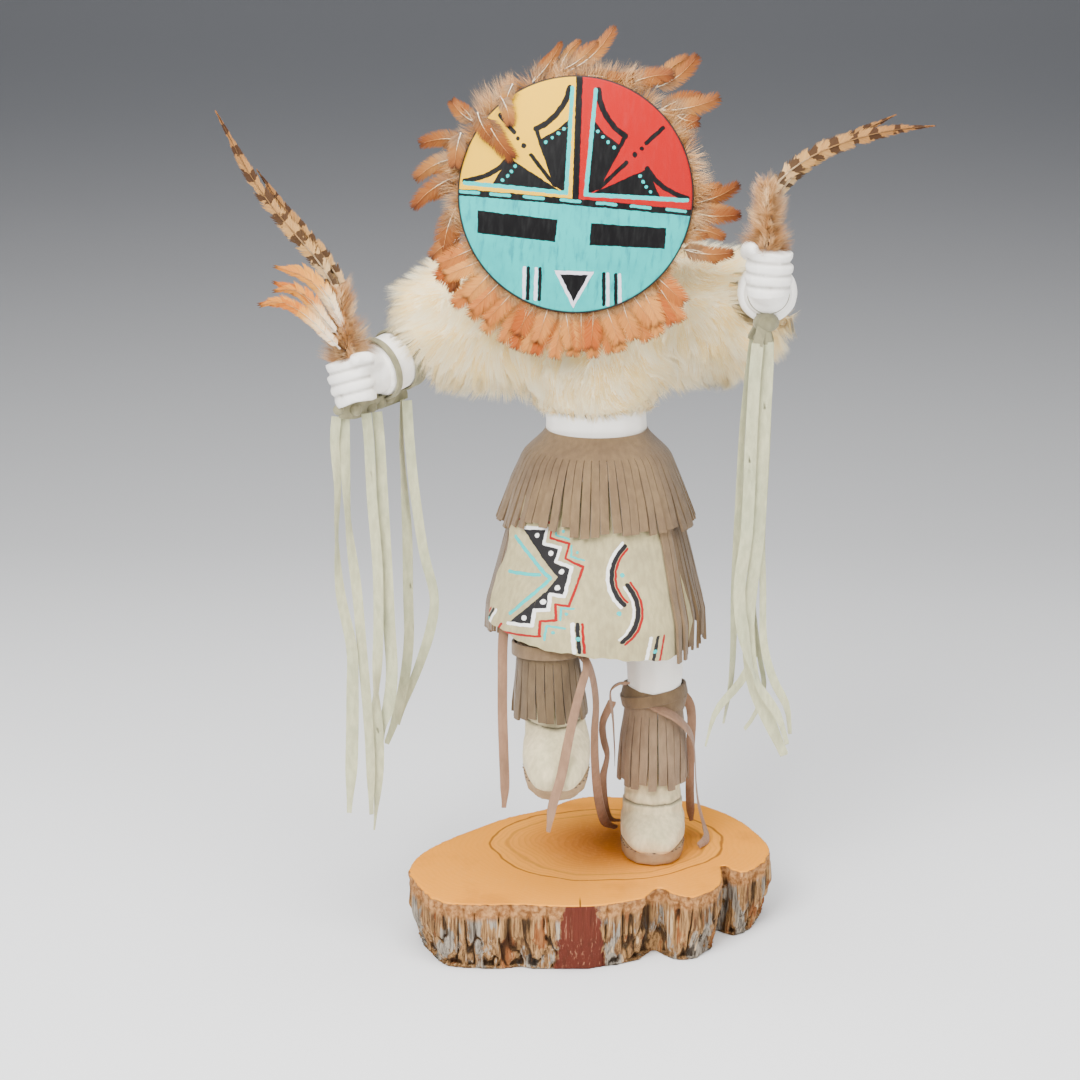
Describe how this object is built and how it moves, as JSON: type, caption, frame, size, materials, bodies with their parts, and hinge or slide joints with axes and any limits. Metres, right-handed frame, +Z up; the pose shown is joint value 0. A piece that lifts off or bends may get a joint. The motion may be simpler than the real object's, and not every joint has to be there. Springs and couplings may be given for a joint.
{
  "type": "kachina doll",
  "caption": "Carved and painted masked dancer in a fringed hide kilt, fur mantle and feather ruff, one foot raised, mounted on a rough slice of cedar.",
  "frame": {"origin": "middle of the slab's flat underside, on the surface it stands on", "axes": "+Z up, the doll faces -Y, its right hand is towards -X"},
  "size_m": [0.33, 0.1473, 0.4566],
  "materials": {
    "cedar": "oiled, with rough bark",
    "mask_paint": "matt paint",
    "white_paint": "white ground, slightly satin",
    "fur": "soft rabbit fur",
    "suede": "napped",
    "apron_suede": "napped, with matt paint",
    "pale_suede": "napped",
    "rand": "smooth, stitched",
    "fluff": "down",
    "barred_feather": "satin",
    "hackle_feather": "satin"
  },
  "bodies": {
    "root": {"slab": "cedar", "mask": "mask_paint", "feather_ruff": "hackle_feather", "figure": "white_paint", "right_arm": "white_paint", "left_arm": "white_paint", "fur_mantle": "fur", "kilt_long_fringe": "suede", "kilt_short_fringe": "suede", "apron": "apron_suede", "right_leg_cuff": "suede", "left_leg_cuff": "suede", "right_leg_band": "suede", "left_leg_band": "suede", "right_moccasin": "pale_suede", "left_moccasin": "pale_suede", "right_moccasin_sole": "rand", "left_moccasin_sole": "rand", "right_wrist_wrap": "pale_suede", "left_wrist_wrap": "pale_suede", "right_hand_tuft": "fluff", "left_hand_tuft": "fluff", "right_tail_feather_1": "barred_feather", "right_tail_feather_2": "barred_feather", "left_tail_feather_1": "barred_feather", "left_tail_feather_2": "barred_feather", "right_hackle_1": "hackle_feather", "right_hackle_2": "hackle_feather", "right_hackle_3": "hackle_feather", "right_thong_1": "pale_suede", "right_thong_2": "pale_suede", "right_thong_3": "pale_suede", "right_thong_4": "pale_suede", "right_thong_5": "pale_suede", "right_thong_6": "pale_suede", "left_thong_1": "pale_suede", "left_thong_2": "pale_suede", "left_thong_3": "pale_suede", "left_thong_4": "pale_suede", "left_thong_5": "pale_suede", "left_thong_6": "pale_suede", "right_leg_tie_1": "suede", "right_leg_tie_2": "suede", "right_leg_tie_3": "suede", "left_leg_tie_1": "suede", "left_leg_tie_2": "suede", "left_leg_tie_3": "suede", "left_leg_tie_4": "suede"}
  },
  "joints": []
}
